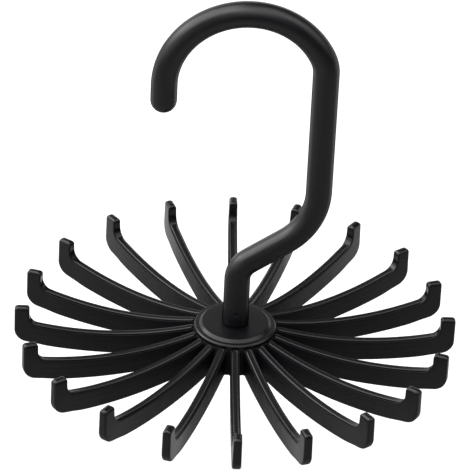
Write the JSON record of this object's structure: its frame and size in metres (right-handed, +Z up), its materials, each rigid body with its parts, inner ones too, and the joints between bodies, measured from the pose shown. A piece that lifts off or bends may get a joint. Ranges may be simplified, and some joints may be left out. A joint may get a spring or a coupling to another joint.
{
  "type": "tie hanger",
  "caption": "Black plastic tie hanger: a bent closet hook whose stem swivels in a round hub, with a ring of bowed, upturned arms that hold ties, belts or scarves.",
  "frame": {"origin": "highest point inside the hook's crook, where the closet rod bears", "axes": "+Z up along the swivel axis, +Y along the closet rod, the hook lies in the XZ plane with its upright on the +X side"},
  "size_m": [0.1658, 0.1658, 0.1514],
  "materials": {
    "hook_plastic": "fine matte moulded black",
    "arm_plastic": "satin moulded black",
    "cap_plastic": "satin moulded black",
    "washer_steel": "zinc plated",
    "screw_steel": "zinc plated"
  },
  "bodies": {
    "hook_body": {"hook": "hook_plastic", "thrust_washer": "washer_steel", "retaining_screw": "screw_steel"},
    "spider": {"hub": "arm_plastic", "hub_cap": "cap_plastic", "arm_01": "arm_plastic", "arm_02": "arm_plastic", "arm_03": "arm_plastic", "arm_04": "arm_plastic", "arm_05": "arm_plastic", "arm_06": "arm_plastic", "arm_07": "arm_plastic", "arm_08": "arm_plastic", "arm_09": "arm_plastic", "arm_10": "arm_plastic", "arm_11": "arm_plastic", "arm_12": "arm_plastic", "arm_13": "arm_plastic", "arm_14": "arm_plastic", "arm_15": "arm_plastic", "arm_16": "arm_plastic", "arm_17": "arm_plastic", "arm_18": "arm_plastic", "arm_19": "arm_plastic", "arm_20": "arm_plastic"}
  },
  "joints": [
    {"name": "swivel", "type": "hinge", "parent": "hook_body", "child": "spider", "pos_m": [0, 0, -0.134], "axis": [0, 0, 1], "continuous": true}
  ]
}
